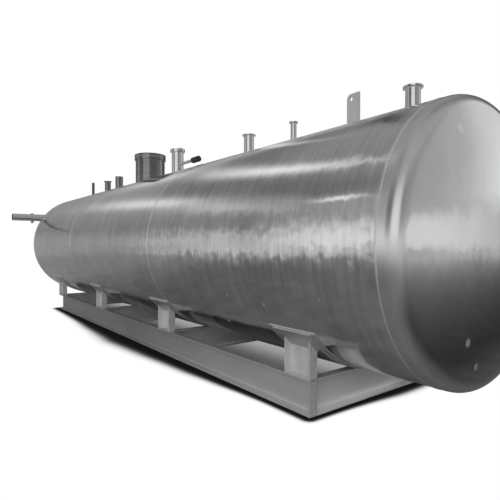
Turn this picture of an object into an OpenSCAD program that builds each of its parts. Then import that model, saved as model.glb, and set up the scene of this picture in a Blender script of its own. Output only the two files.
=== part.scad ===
// Horizontal sanitary tank lying in four saddles on a channel skid.
// Millimetres, +Z up, +X towards the front end of the tank.
// The origin is under the front end beam, at floor level, half way across the skid.

/* [Vessel] */
// Outside diameter of the tank
tank_d = 2000; // [1600:10:2400]
// Wall of the rolled shell plates
shell_t = 6; // [4:0.5:12]
// Length of the front and of the middle shell course
course_len = 3000; // [2400:10:3200]
// Length of the rear shell course
rear_course_len = 2680; // [2400:10:3200]
// Wall of the pressed ends
head_t = 6; // [4:0.5:12]
// Straight rim of a pressed end, butt welded to the shell
head_rim = 55; // [20:1:100]
// Radius of the turned edge of a pressed end
knuckle_r = 100; // [40:1:160]
// Radius of the shallow dish of a pressed end
dish_r = 8000; // [4000:50:12000]

/* [Saddles] */
// Distance from an edge of the tank to the middle of the nearest saddle
saddle_from_edge = 990; // [700:5:1200]
// Length of a wear pad along the tank
pad_len = 500; // [420:5:600]
// Thickness of a wear pad
pad_t = 8; // [5:0.5:14]
// Part of the circle that a wear pad covers, in degrees
pad_angle = 100; // [92:1:120]
// How far a saddle plate stays back from the wear pad's front and rear edges
plate_inset = 45; // [20:1:60]
// How far a saddle plate stays back from the wear pad's upper edges
horn_inset = 12; // [6:1:40]
// Thickness of a saddle plate
plate_t = 10; // [6:0.5:16]

/* [Skid] */
// Width of the skid over the channel flanges
skid_w = 1400; // [1200:10:1500]
// Depth of the channel section
channel_h = 280; // [200:5:320]
// Width of the channel flanges
channel_b = 80; // [60:1:100]
// Web of the channel section
channel_web = 8; // [6:0.5:12]
// Flange of the channel section
channel_flange = 12; // [8:0.5:18]
// Inner corner radius of the channel section
channel_r = 11; // [6:0.5:16]
// Thickness of the plate that closes the left rail
cap_t = 8; // [5:0.5:14]

/* [Fittings on the crown] */
// Place of the front nozzle, measured back from the tank's front edge
front_nozzle_at = 449; // [300:1:600]
// Place of the front lifting lug, measured back from the front edge
front_lug_at = 1017; // [800:1:1300]
// Place of the small nozzle, measured back from the front edge
small_nozzle_at = 1770; // [1500:1:2000]
// Place of the middle nozzle, measured back from the front edge
middle_nozzle_at = 2505; // [2200:1:2750]
// Place of the vent, measured back from the front of the middle course
vent_at = 1145; // [900:1:1250]
// Place of the manway, measured back from the front of the middle course
manway_at = 2065; // [1900:1:2120]
// Place of the inner of the two rear nozzles, measured from the tank's rear edge
rear_inner_nozzle_at = 2320; // [2000:1:2350]
// Place of the outer of the two rear nozzles, measured from the rear edge
rear_outer_nozzle_at = 1720; // [1500:1:1900]
// Place of the rear lifting lug, measured from the rear edge
rear_lug_at = 835; // [600:1:1200]
// Outside diameter of the wide pipe
wide_pipe_d = 114.3; // [88.9:0.1:139.7]
// Outside diameter of the narrow pipe
narrow_pipe_d = 60.3; // [42.4:0.1:76.1]
// Outside diameter of the plain pipe, also used for the side outlet
plain_pipe_d = 139.7; // [114.3:0.1:168.3]
// Wall of every pipe
pipe_t = 3; // [2:0.1:5]
// How far a collar stands out from its pipe
collar_out = 18; // [12:0.5:30]
// Thickness of a collar
collar_t = 13; // [8:0.5:20]
// Radius under a collar
collar_r = 8; // [4:0.5:12]
// How far a pipe reaches into the tank below its wall
pipe_inset = 14; // [8:1:30]
// Height of the front nozzle above the crown
front_nozzle_rise = 204; // [150:1:260]
// Height of the small nozzle above the crown
small_nozzle_rise = 226; // [150:1:300]
// Height of the middle nozzle above the crown
middle_nozzle_rise = 242; // [150:1:300]
// Height of the inner rear nozzle above the crown
rear_inner_nozzle_rise = 252; // [150:1:300]
// Height of the outer rear nozzle above the crown
rear_outer_nozzle_rise = 235; // [150:1:300]

/* [Vent] */
// Outside diameter of the vent neck
vent_d = 168.3; // [150:0.1:200]
// Height of the vent neck above the crown
vent_rise = 345; // [300:1:400]
// How far the vent collar stands out from the neck
vent_collar_out = 12; // [9:0.5:16]
// Thickness of the vent collar and of the cap's edge
vent_collar_t = 11; // [8:0.5:16]
// Height of the cap's dome over its edge
vent_dome = 8; // [4:0.5:14]
// Section of the clamp ring outside and beyond the collars
clamp_t = 9; // [6:0.5:14]
// Length of the clamp's ears
clamp_ear = 34; // [24:1:44]
// Outside diameter of the side branch
branch_d = 42.4; // [33.7:0.1:48.3]
// Height of the side branch above the crown
branch_rise = 145; // [120:1:190]
// Reach of the side branch from the vent's centre line
branch_reach = 440; // [340:1:520]
// Diameter of the plug on the side branch
plug_d = 80; // [64:1:100]
// Length of the plug
plug_len = 150; // [100:1:190]
// How far the branch goes into the plug
plug_hold = 45; // [30:1:60]

/* [Manway] */
// Outside diameter of the manway neck
manway_d = 460; // [400:1:520]
// Height of the manway neck above the crown
manway_rise = 380; // [330:1:420]
// Thickness of the ring round the top of the neck
manway_ring_t = 16; // [10:0.5:24]
// Height of the ring
manway_ring_h = 40; // [25:1:60]
// Thickness of the seal under the lid
seal_t = 8; // [5:0.5:12]
// Height of the lid
lid_h = 42; // [30:1:60]
// Wall of the lid
lid_t = 6; // [4:0.5:9]
// Radius of the lid's upper edge
lid_r = 14; // [10:0.5:20]

/* [Lifting lugs] */
// Width of a lug along the tank
lug_w = 132; // [110:1:180]
// Height of a lug above the crown
lug_rise = 306; // [260:1:360]
// Thickness of a lug
lug_t = 16; // [10:1:25]
// Diameter of the eye
eye_d = 36; // [26:0.5:48]
// Plate left round the eye, which also rounds the lug's corner
eye_edge = 26; // [20:1:40]

/* [Side outlet] */
// Place of the outlet, measured from the rear edge of the tank
outlet_at = 295; // [200:1:400]
// Height of the outlet above the tank's centre line
outlet_up = 550; // [450:1:620]
// Reach of the joint between the two pipes from the tank's centre plane
outlet_joint = 1085; // [1040:1:1150]
// Reach of the pipe's end from the tank's centre plane
outlet_end = 1450; // [1300:1:1600]
// Bevel at the pipe's end
outlet_bevel = 2; // [1:0.1:2.5]

/* [Clearances] */
// Gap round a pipe set into the tank wall
wall_gap = 0.3; // [0.1:0.1:0.6]
// Gap between parts that are clamped or pushed together
hold_gap = 0.2; // [0.1:0.1:0.5]

/* [Hidden] */
$fn = 96;
dish_fn = 1440;
tank_fn = 480;
over = 1;
steel = [0.72, 0.73, 0.74];
pale_steel = [0.80, 0.81, 0.82];
skid_steel = [0.60, 0.61, 0.62];
black_plastic = [0.08, 0.08, 0.08];
white_rubber = [0.90, 0.90, 0.87];

tank_r = tank_d / 2;
tank_len = 2 * course_len + rear_course_len + 2 * head_rim;
saddle_count = 4;
plate_r = tank_r + pad_t;
post_cut_r = plate_r + plate_t;
axis_z = channel_h + post_cut_r;
crown_z = axis_z + tank_r;
plate_angle = pad_angle - 2 * horn_inset / plate_r * 180 / PI;
first_saddle_x = channel_b / 2 - channel_h / 2;
saddle_pitch = (tank_len - 2 * saddle_from_edge) / (saddle_count - 1);
front_x = first_saddle_x + saddle_from_edge;
rear_x = front_x - tank_len;
middle_front_x = front_x - head_rim - course_len;
rear_front_x = middle_front_x - course_len;
front_nozzle_x = front_x - front_nozzle_at;
front_lug_x = front_x - front_lug_at;
small_nozzle_x = front_x - small_nozzle_at;
middle_nozzle_x = front_x - middle_nozzle_at;
vent_x = middle_front_x - vent_at;
manway_x = middle_front_x - manway_at;
rear_inner_nozzle_x = rear_x + rear_inner_nozzle_at;
rear_outer_nozzle_x = rear_x + rear_outer_nozzle_at;
rear_lug_x = rear_x + rear_lug_at;
outlet_x = rear_x + outlet_at;
rear_saddle_x = first_saddle_x - (saddle_count - 1) * saddle_pitch;
rail_front_x = first_saddle_x + channel_h / 2;
rail_rear_x = rear_saddle_x - channel_h / 2;
rail_y = skid_w / 2 - channel_b;
dish_drop = sqrt(pow(dish_r - knuckle_r, 2) - pow(tank_r - knuckle_r, 2));
dish_meet = (tank_r - knuckle_r) * dish_r / (dish_r - knuckle_r);
vent_collar_d = vent_d + 2 * vent_collar_out;
clamp_in_d = vent_collar_d + 2 * hold_gap;
clamp_h = 2 * vent_collar_t + 2 * hold_gap + 2 * clamp_t;
manway_dip = shell_t + 2 * pipe_inset + manway_d * manway_d / (8 * tank_r);
ring_d = manway_d + 2 * manway_ring_t + 2 * hold_gap;
eye_r = eye_d / 2 + eye_edge;
outlet_collar_d = plain_pipe_d + 2 * vent_collar_out;
outlet_clamp_in_d = outlet_collar_d + 2 * hold_gap;
outlet_wall_y = sqrt(pow(tank_r - shell_t, 2) - pow(outlet_up + plain_pipe_d / 2, 2));

function saddle_x(place) = first_saddle_x - place * saddle_pitch;

// Pressed end: straight rim, turned edge and shallow dish, as half a section
module head_half(inside) {
    intersection() {
        union() {
            translate([0, -head_rim - over])
                square([tank_r - inside, head_rim + over]);
            intersection() {
                translate([0, -dish_drop])
                    circle(r = dish_r - inside, $fn = dish_fn);
                square([dish_meet - inside / dish_r * dish_meet, dish_r]);
            }
            intersection() {
                translate([tank_r - knuckle_r, 0])
                    circle(r = knuckle_r - inside);
                square([tank_r, dish_r]);
            }
        }
        translate([0, -head_rim - (inside > 0 ? over : 0)])
            square([tank_r, dish_r]);
    }
}

module head_body() {
    rotate_extrude($fn = tank_fn)
        difference() {
            head_half(0);
            head_half(head_t);
        }
}

// Holes in the tank wall for everything that is set into it
module wall_hole(x, pipe_d) {
    translate([x, 0, axis_z])
        cylinder(d = pipe_d + 2 * wall_gap, h = tank_d);
}

module wall_holes() {
    wall_hole(front_nozzle_x, wide_pipe_d);
    wall_hole(small_nozzle_x, narrow_pipe_d);
    wall_hole(middle_nozzle_x, wide_pipe_d);
    wall_hole(vent_x, vent_d);
    wall_hole(manway_x, manway_d);
    wall_hole(rear_inner_nozzle_x, plain_pipe_d);
    wall_hole(rear_outer_nozzle_x, wide_pipe_d);
    translate([outlet_x, 0, axis_z + outlet_up])
        rotate([90, 0, 0])
            cylinder(d = plain_pipe_d + 2 * wall_gap, h = tank_d);
}

module shell_course(rear_end_x, length) {
    difference() {
        translate([rear_end_x, 0, axis_z])
            rotate([0, 90, 0])
                difference() {
                    cylinder(r = tank_r, h = length, $fn = tank_fn);
                    translate([0, 0, -over])
                        cylinder(r = tank_r - shell_t, h = length + 2 * over, $fn = tank_fn);
                }
        wall_holes();
    }
}

// Channel section with its back on the Y axis and its flanges towards +X
module channel_pocket() {
    pocket_h = channel_h - 2 * channel_flange;
    translate([channel_web + channel_r, channel_flange])
        square([channel_b, pocket_h]);
    translate([channel_web, channel_flange + channel_r])
        square([channel_b, pocket_h - 2 * channel_r]);
    translate([channel_web + channel_r, channel_flange + channel_r])
        circle(r = channel_r);
    translate([channel_web + channel_r, channel_h - channel_flange - channel_r])
        circle(r = channel_r);
}

module channel_section() {
    difference() {
        square([channel_b, channel_h]);
        channel_pocket();
    }
}

module rail_body() {
    translate([rail_rear_x, rail_y, 0])
        rotate([90, 0, 90])
            linear_extrude(rail_front_x - rail_rear_x)
                channel_section();
}

module beam_body() {
    translate([0, rail_y, 0])
        rotate([90, 0, 0])
            linear_extrude(2 * rail_y)
                channel_section();
}

module post_body() {
    translate([channel_h / 2, rail_y, channel_h])
        rotate([0, 0, 90])
            linear_extrude(post_cut_r)
                channel_section();
}

// Strip of plate bent round the underside of the tank
module bent_strip(inner_r, thickness, length, angle) {
    translate([length / 2, 0, axis_z])
        rotate([0, -90, 0])
            rotate([0, 0, 180 - angle / 2])
                rotate_extrude(angle = angle, $fn = tank_fn)
                    translate([inner_r, 0])
                        square([thickness, length]);
}

// Pipe with a turned-out collar at its top, standing at the origin on the crown
module collared_pipe(pipe_d, rise, collar_reach, thickness) {
    difference() {
        union() {
            translate([0, 0, -shell_t - pipe_inset])
                cylinder(d = pipe_d, h = rise + shell_t + pipe_inset);
            translate([0, 0, rise - thickness])
                cylinder(d = pipe_d + 2 * collar_reach, h = thickness);
            rotate_extrude()
                translate([pipe_d / 2 - over, rise - thickness - collar_r])
                    difference() {
                        square([collar_r + over, collar_r + over]);
                        translate([collar_r + over, 0])
                            circle(r = collar_r);
                    }
        }
        translate([0, 0, -shell_t - pipe_inset - over])
            cylinder(d = pipe_d - 2 * pipe_t, h = rise + shell_t + pipe_inset + 2 * over);
    }
}

module on_crown(x) {
    translate([x, 0, crown_z])
        children();
}

// Clamp ring that hooks over two collars, with a bolted pair of ears
module clamp_ring(inner_d, neck_d) {
    half_h = clamp_h / 2;
    difference() {
        union() {
            cylinder(d = inner_d + 2 * clamp_t, h = clamp_h, center = true);
            translate([inner_d / 2, 0, 0])
                cube([2 * clamp_ear, 2.4 * clamp_t, clamp_h], center = true);
        }
        cylinder(d = inner_d, h = 2 * vent_collar_t + 2 * hold_gap, center = true);
        cylinder(d = neck_d, h = clamp_h + 2 * over, center = true);
        translate([inner_d / 2 + clamp_ear / 2 + over, 0, 0])
            cube([clamp_ear + 2 * over, 0.6 * clamp_t, clamp_h + 2 * over], center = true);
    }
}

module front_head() {
    color(pale_steel)
        translate([front_x, 0, axis_z])
            rotate([0, 90, 0])
                head_body();
}

module rear_head() {
    color(pale_steel)
        translate([rear_x, 0, axis_z])
            rotate([0, -90, 0])
                head_body();
}

module front_shell() {
    color(steel)
        shell_course(middle_front_x, course_len);
}

module middle_shell() {
    color(steel)
        shell_course(rear_front_x, course_len);
}

module rear_shell() {
    color(steel)
        shell_course(rear_x + head_rim, rear_course_len);
}

module right_rail() {
    color(skid_steel)
        rail_body();
}

module left_rail() {
    color(skid_steel)
        mirror([0, 1, 0])
            rail_body();
}

// Plate let into the front end of the left rail
module left_rail_cap() {
    color(skid_steel)
        mirror([0, 1, 0])
            translate([rail_front_x - cap_t, rail_y, 0])
                rotate([90, 0, 90])
                    linear_extrude(cap_t)
                        intersection() {
                            square([channel_b, channel_h]);
                            channel_pocket();
                        }
}

module front_end_beam() {
    color(skid_steel)
        translate([rail_front_x - channel_b, 0, 0])
            beam_body();
}

module second_beam() {
    color(skid_steel)
        translate([saddle_x(1) + channel_h / 2 - channel_b, 0, 0])
            beam_body();
}

module third_beam() {
    color(skid_steel)
        translate([saddle_x(2) + channel_h / 2 - channel_b, 0, 0])
            beam_body();
}

module rear_end_beam() {
    color(skid_steel)
        translate([rail_rear_x + channel_b, 0, 0])
            mirror([1, 0, 0])
                beam_body();
}

module wear_pad(place) {
    color(steel)
        translate([saddle_x(place), 0, 0])
            bent_strip(tank_r, pad_t, pad_len, pad_angle);
}

module saddle_plate(place) {
    color(skid_steel)
        translate([saddle_x(place), 0, 0])
            bent_strip(plate_r, plate_t, pad_len - 2 * plate_inset, plate_angle);
}

// Pair of channel posts, cut to the saddle plate
module posts(place) {
    color(pale_steel)
        translate([saddle_x(place), 0, 0])
            difference() {
                union() {
                    post_body();
                    mirror([0, 1, 0])
                        post_body();
                }
                translate([-channel_h, 0, axis_z])
                    rotate([0, 90, 0])
                        cylinder(r = post_cut_r, h = 2 * channel_h, $fn = tank_fn);
            }
}

module front_nozzle() {
    color(pale_steel)
        on_crown(front_nozzle_x)
            collared_pipe(wide_pipe_d, front_nozzle_rise, collar_out, collar_t);
}

module small_nozzle() {
    color(pale_steel)
        on_crown(small_nozzle_x)
            collared_pipe(narrow_pipe_d, small_nozzle_rise, 0.8 * collar_out, collar_t);
}

module middle_nozzle() {
    color(pale_steel)
        on_crown(middle_nozzle_x)
            collared_pipe(wide_pipe_d, middle_nozzle_rise, collar_out, collar_t);
}

// Plain pipe without a collar
module rear_inner_nozzle() {
    color(pale_steel)
        on_crown(rear_inner_nozzle_x)
            difference() {
                translate([0, 0, -shell_t - pipe_inset])
                    cylinder(d = plain_pipe_d, h = rear_inner_nozzle_rise + shell_t + pipe_inset);
                translate([0, 0, -tank_r / 2])
                    cylinder(d = plain_pipe_d - 2 * pipe_t, h = tank_r);
            }
}

module rear_outer_nozzle() {
    color(pale_steel)
        on_crown(rear_outer_nozzle_x)
            collared_pipe(wide_pipe_d, rear_outer_nozzle_rise, collar_out, collar_t);
}

module vent_neck() {
    color(pale_steel)
        on_crown(vent_x)
            difference() {
                collared_pipe(vent_d, vent_rise, vent_collar_out, vent_collar_t);
                translate([0, 0, branch_rise])
                    rotate([0, 90, 0])
                        cylinder(d = branch_d + 2 * wall_gap, h = vent_d);
            }
}

// Cap over the vent, with a low dome inside its edge
module vent_cap() {
    color(pale_steel)
        on_crown(vent_x)
            translate([0, 0, vent_rise]) {
                cylinder(d = vent_collar_d, h = vent_collar_t);
                cylinder(d1 = vent_d - 2 * clamp_t, d2 = vent_d - 4 * clamp_t, h = vent_collar_t + vent_dome);
            }
}

module vent_clamp() {
    color(steel)
        on_crown(vent_x)
            translate([0, 0, vent_rise])
                clamp_ring(clamp_in_d, vent_d + 2 * collar_r + 2 * hold_gap);
}

// Thin pipe that leaves the vent neck towards the front
module vent_branch() {
    color(pale_steel)
        on_crown(vent_x)
            translate([vent_d / 2 - pipe_t, 0, branch_rise])
                rotate([0, 90, 0])
                    difference() {
                        cylinder(d = branch_d, h = branch_reach - vent_d / 2 + pipe_t + plug_hold);
                        translate([0, 0, -over])
                            cylinder(d = branch_d - 2 * pipe_t, h = branch_reach + plug_hold);
                    }
}

// Black plug pushed over the end of the branch
module vent_plug() {
    color(black_plastic)
        on_crown(vent_x)
            translate([branch_reach, 0, branch_rise])
                rotate([0, 90, 0])
                    difference() {
                        cylinder(d = plug_d, h = plug_len);
                        translate([0, 0, -over])
                            cylinder(d = branch_d + 2 * hold_gap, h = plug_hold + over);
                    }
}

module manway_neck() {
    color(pale_steel)
        on_crown(manway_x)
            difference() {
                translate([0, 0, -manway_dip])
                    cylinder(d = manway_d, h = manway_rise + manway_dip);
                translate([0, 0, -tank_r / 2])
                    cylinder(d = manway_d - 2 * shell_t, h = tank_r);
            }
}

module manway_ring() {
    color(steel)
        on_crown(manway_x)
            translate([0, 0, manway_rise - manway_ring_h])
                difference() {
                    cylinder(d = ring_d, h = manway_ring_h);
                    translate([0, 0, -over])
                        cylinder(d = manway_d + 2 * hold_gap, h = manway_ring_h + 2 * over);
                }
}

module manway_seal() {
    color(white_rubber)
        on_crown(manway_x)
            translate([0, 0, manway_rise])
                difference() {
                    cylinder(d = ring_d - manway_ring_t / 2, h = seal_t);
                    translate([0, 0, -over])
                        cylinder(d = manway_d - 2 * shell_t, h = seal_t + 2 * over);
                }
}

// Lid pressed as a shallow pan, lying on the seal
module manway_lid() {
    color(pale_steel)
        on_crown(manway_x)
            translate([0, 0, manway_rise + seal_t])
                rotate_extrude()
                    difference() {
                        union() {
                            square([ring_d / 2, lid_h - lid_r]);
                            square([ring_d / 2 - lid_r, lid_h]);
                            translate([ring_d / 2 - lid_r, lid_h - lid_r])
                                circle(r = lid_r);
                        }
                        translate([0, -over])
                            square([manway_d / 2 - shell_t, lid_h - lid_t + over]);
                        translate([-over - ring_d, -over])
                            square([ring_d + over, lid_h + 2 * over]);
                    }
}

// Lifting plate with its eye towards the middle of the tank
module lug_body() {
    eye_x = lug_w / 2 - eye_r;
    rotate([90, 0, 0])
        linear_extrude(lug_t, center = true)
            difference() {
                union() {
                    translate([-lug_w / 2, 0])
                        square([lug_w, lug_rise - eye_r]);
                    translate([-lug_w / 2 + eye_r, 0])
                        square([lug_w - eye_r, lug_rise]);
                    translate([-eye_x, lug_rise - eye_r])
                        circle(r = eye_r);
                }
                translate([-eye_x, lug_rise - eye_r])
                    circle(d = eye_d);
            }
}

module front_lug() {
    color(steel)
        on_crown(front_lug_x)
            lug_body();
}

module rear_lug() {
    color(steel)
        on_crown(rear_lug_x)
            mirror([1, 0, 0])
                lug_body();
}

module at_outlet(reach) {
    translate([outlet_x, -reach, axis_z + outlet_up])
        rotate([90, 0, 0])
            children();
}

// Pipe set level into the side of the rear shell course
module outlet_stub() {
    stub_len = outlet_joint - outlet_wall_y + pipe_inset;
    color(pale_steel)
        at_outlet(outlet_wall_y - pipe_inset)
            difference() {
                union() {
                    cylinder(d = plain_pipe_d, h = stub_len);
                    translate([0, 0, stub_len - vent_collar_t])
                        cylinder(d = outlet_collar_d, h = vent_collar_t);
                }
                translate([0, 0, -over])
                    cylinder(d = plain_pipe_d - 2 * pipe_t, h = stub_len + 2 * over);
            }
}

module outlet_pipe() {
    run = outlet_end - outlet_joint;
    color(pale_steel)
        at_outlet(outlet_joint)
            difference() {
                union() {
                    cylinder(d = plain_pipe_d, h = run - outlet_bevel);
                    translate([0, 0, run - outlet_bevel])
                        cylinder(d1 = plain_pipe_d, d2 = plain_pipe_d - 2 * outlet_bevel, h = outlet_bevel);
                    cylinder(d = outlet_collar_d, h = vent_collar_t);
                }
                translate([0, 0, -over])
                    cylinder(d = plain_pipe_d - 2 * pipe_t, h = run + 2 * over);
            }
}

module outlet_clamp() {
    color(steel)
        at_outlet(outlet_joint)
            rotate([0, 0, -90])
                clamp_ring(outlet_clamp_in_d, plain_pipe_d + 2 * hold_gap);
}

front_head();
front_shell();
middle_shell();
rear_shell();
rear_head();
left_rail();
right_rail();
left_rail_cap();
front_end_beam();
second_beam();
third_beam();
rear_end_beam();
wear_pad(0);  // wear_pad_1
wear_pad(1);  // wear_pad_2
wear_pad(2);  // wear_pad_3
wear_pad(3);  // wear_pad_4
saddle_plate(0);  // saddle_plate_1
saddle_plate(1);  // saddle_plate_2
saddle_plate(2);  // saddle_plate_3
saddle_plate(3);  // saddle_plate_4
posts(0);  // posts_1
posts(1);  // posts_2
posts(2);  // posts_3
posts(3);  // posts_4
front_nozzle();
small_nozzle();
middle_nozzle();
rear_inner_nozzle();
rear_outer_nozzle();
vent_neck();
vent_cap();
vent_clamp();
vent_branch();
vent_plug();
manway_neck();
manway_ring();
manway_seal();
manway_lid();
front_lug();
rear_lug();
outlet_stub();
outlet_clamp();
outlet_pipe();
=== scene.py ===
# %% [markdown]
# # A polished storage tank on its skid
# The tank arrives here as solids from the CAD model: a rolled shell in three courses, two pressed ends,
# four saddles, a skid of channel and a row of fittings. This lesson gives it its looks.
# Everything is in metres, in the CAD model's own frame: X runs along the tank towards its front end,
# the side outlet points towards -Y, and Z is up.

# %% Load the solids
import math
import bmesh
import bpy
from mathutils import Matrix, Vector


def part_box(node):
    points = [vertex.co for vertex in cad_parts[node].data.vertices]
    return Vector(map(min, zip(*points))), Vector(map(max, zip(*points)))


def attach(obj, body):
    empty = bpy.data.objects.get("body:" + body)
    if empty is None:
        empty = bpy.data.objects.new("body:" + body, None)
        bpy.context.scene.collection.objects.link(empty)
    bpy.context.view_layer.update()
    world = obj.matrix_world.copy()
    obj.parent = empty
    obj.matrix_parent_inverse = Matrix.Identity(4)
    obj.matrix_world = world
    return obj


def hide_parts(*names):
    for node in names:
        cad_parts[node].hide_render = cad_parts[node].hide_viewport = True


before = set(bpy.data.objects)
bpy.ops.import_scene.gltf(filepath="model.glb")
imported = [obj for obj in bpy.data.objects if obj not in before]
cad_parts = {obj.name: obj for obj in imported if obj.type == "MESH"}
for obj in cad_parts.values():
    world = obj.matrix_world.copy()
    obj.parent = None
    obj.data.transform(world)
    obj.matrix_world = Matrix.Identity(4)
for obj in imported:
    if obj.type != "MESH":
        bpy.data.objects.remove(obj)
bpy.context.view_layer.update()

scene = bpy.context.scene
print("solids loaded:", len(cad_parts), "nodes")

# %% [markdown]
# ## The camera
# The picture was taken from beside the front end, with a wide lens held at the height of the tank's middle.
# A camera could be aimed by eye, but a tank has long straight edges that give the place away:
# these numbers come from lining up the seams, the posts and the skid's corners.

# %% Camera
CAMERA_PLACE = Vector((2.3209, -3.0219, 1.2992))
CAMERA_HEADING = Vector((-0.7918, 0.6108, 0.0)).normalized()
CAMERA_DIP = math.radians(0.79)
LENS, SENSOR = 31.28, 36.0

camera = bpy.data.objects.new("camera", bpy.data.cameras.new("camera"))
scene.collection.objects.link(camera)
camera.data.lens = LENS
camera.data.sensor_width = SENSOR
camera.location = CAMERA_PLACE
sight = CAMERA_HEADING * math.cos(CAMERA_DIP) - Vector((0, 0, math.sin(CAMERA_DIP)))
camera.rotation_mode = "QUATERNION"
camera.rotation_quaternion = sight.to_track_quat("-Z", "Y")
scene.camera = camera
scene.view_settings.view_transform = "Standard"
print("camera stands", round(CAMERA_PLACE.z, 2), "m above the floor")

# %% [markdown]
# ## Small helpers for node trees
# Every finish below is a little tree of shader nodes. Wiring them by hand takes three lines a node,
# so these helpers add a node, set its values and join its sockets in one call.

# %% Node helpers
def add_node(tree, kind, joins=None, **settings):
    made = tree.nodes.new(kind)
    for key, value in settings.items():
        setattr(made, key, value)
    for key, value in (joins or {}).items():
        if isinstance(value, bpy.types.NodeSocket):
            tree.links.new(value, made.inputs[key])
        else:
            made.inputs[key].default_value = value
    return made


def calc(tree, job, a, b=0.0, c=0.0, clamp=False):
    joins = {0: a, 1: b, 2: c}
    return add_node(tree, "ShaderNodeMath", joins, operation=job, use_clamp=clamp).outputs[0]


def vec(tree, job, a, b=(0, 0, 0), output=0):
    return add_node(tree, "ShaderNodeVectorMath", {0: a, 1: b}, operation=job).outputs[output]


def scaled(tree, vector, amount):
    joins = {0: vector, "Scale": amount}
    return add_node(tree, "ShaderNodeVectorMath", joins, operation="SCALE").outputs[0]


def split(tree, vector):
    return add_node(tree, "ShaderNodeSeparateXYZ", {0: vector}).outputs


def remap(tree, value, low, high, to_low=0.0, to_high=1.0, smooth=True):
    kind = "SMOOTHSTEP" if smooth else "LINEAR"
    joins = {"Value": value, "From Min": low, "From Max": high, "To Min": to_low, "To Max": to_high}
    return add_node(tree, "ShaderNodeMapRange", joins, interpolation_type=kind).outputs["Result"]


def mix_values(tree, share, a, b):
    return add_node(tree, "ShaderNodeMix", {0: share, 2: a, 3: b}).outputs[0]


def mix_colours(tree, share, a, b):
    return add_node(tree, "ShaderNodeMix", {0: share, 6: a, 7: b}, data_type="RGBA").outputs[2]


def sum_of_squares(tree, a, b):
    return calc(tree, "MULTIPLY_ADD", a, a, calc(tree, "MULTIPLY", b, b))


print("node helpers ready")

# %% [markdown]
# ## Ramps and noise
# Two patterns do most of the work later on: a ramp that turns a number into a grey through a list of stops,
# and a soft noise. Both could come from pictures, but worked-out patterns have no edges
# and stay sharp at any size.

# %% Pattern helpers
def greys(tree, value, stops):
    ramp = add_node(tree, "ShaderNodeValToRGB", {"Fac": value})
    points = ramp.color_ramp.elements
    while len(points) < len(stops):
        points.new(1.0)
    for point, (place, grey) in zip(points, stops):
        point.position = place
        point.color = (grey, grey, grey, 1.0)
    return ramp.outputs["Color"]


def noise(tree, vector, detail=3.0, rough=0.5):
    joins = {"Vector": vector, "Scale": 1.0, "Detail": detail, "Roughness": rough}
    return add_node(tree, "ShaderNodeTexNoise", joins).outputs["Fac"]


print("pattern helpers ready")

# %% [markdown]
# ## The light round the tank
# Polished steel has hardly any colour of its own: what we see is the room.
# A hall gives a bright strip at eye level, a darker wall above it, and grey towards the roof.
# A modelled hall would do, but one dome is enough: a ramp of greys over the height of the view, in degrees.
# There is one ramp for each quarter of the hall, and each fades in between two bearings off the front.

# %% Dome of light
FRONT_LIGHT = [(-90, 0.04), (-3, 0.40), (0, 0.90), (4, 0.88), (6, 0.56), (14, 0.50),
               (30, 0.46), (60, 0.40), (90, 0.40)]
SIDE_LIGHT = [(-90, 0.08), (-4, 0.50), (-1, 0.88), (3, 0.96), (7, 0.92), (12, 0.74), (16, 0.56), (20, 0.43),
              (29, 0.42), (35, 0.32), (44, 0.30), (52, 0.36), (57, 0.27), (70, 0.36), (90, 0.40)]
MIDDLE_LIGHT = [(-90, 0.10), (-5, 0.42), (-1, 0.60), (3, 0.62), (7, 0.47), (12, 0.28), (18, 0.29),
                (23, 0.42), (28, 0.38), (33, 0.22), (38, 0.22), (46, 0.32), (60, 0.34), (90, 0.40)]
REAR_LIGHT = [(-90, 0.16), (-8, 0.30), (0, 0.37), (4, 0.34), (8, 0.27), (13, 0.30), (19, 0.36),
              (25, 0.36), (29, 0.22), (36, 0.22), (48, 0.32), (90, 0.40)]
LATER_QUARTERS = ((SIDE_LIGHT, 66, 86), (MIDDLE_LIGHT, 132, 145), (REAR_LIGHT, 150, 162))
DEGREES = 180 / math.pi

world = bpy.data.worlds.new("hall")
scene.world = world
world.use_nodes = True
hall = world.node_tree
hall.nodes.clear()
view = split(hall, add_node(hall, "ShaderNodeTexCoord").outputs["Generated"])
climb = calc(hall, "ARCSINE", view["Z"])
height_share = remap(hall, climb, -math.pi / 2, math.pi / 2, smooth=False)
heading = calc(hall, "ARCTAN2", view["Y"], view["X"])
off_front = calc(hall, "MULTIPLY", calc(hall, "ABSOLUTE", heading), DEGREES)


def dome_ramp(steps):
    return greys(hall, height_share, [((angle + 90) / 180, grey) for angle, grey in steps])


dome_grey = dome_ramp(FRONT_LIGHT)
for steps, low, high in LATER_QUARTERS:
    dome_grey = mix_colours(hall, remap(hall, off_front, low, high), dome_grey, dome_ramp(steps))
print("dome has", 1 + len(LATER_QUARTERS), "ramps of grey")

# %% [markdown]
# ## Panels along the walls
# Upright pipes mirror the whole hall from left to right, and look flat if its walls are all one grey.
# Real halls have dark doorways and bright windows, so the walls get lighter and darker panels
# round the compass. A ramp can't go above 1, so the panels are written at a quarter of their strength.

# %% Wall panels
WALL_PANELS = [(-180, 0.25), (-124, 0.25), (-114, 0.09), (-86, 0.09), (-74, 0.46), (-36, 0.46), (-26, 0.13),
               (20, 0.18), (49, 0.224), (60, 0.277), (65, 0.365), (70, 0.43), (75, 0.44), (84, 0.05),
               (116, 0.05), (132, 0.25), (180, 0.25)]
PANEL_STRENGTH = 4.0
EYE_LEVEL = [(-180, 1.0), (50, 1.0), (62, 0.84), (69, 0.66), (84, 0.66), (100, 1.0), (180, 1.0)]
WALL_FOOT, WALL_TOP = (0.06, 0.14), (0.75, 0.45)

compass = remap(hall, heading, -math.pi, math.pi, smooth=False)


def compass_ramp(steps):
    return greys(hall, compass, [((angle + 180) / 360, share) for angle, share in steps])


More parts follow.
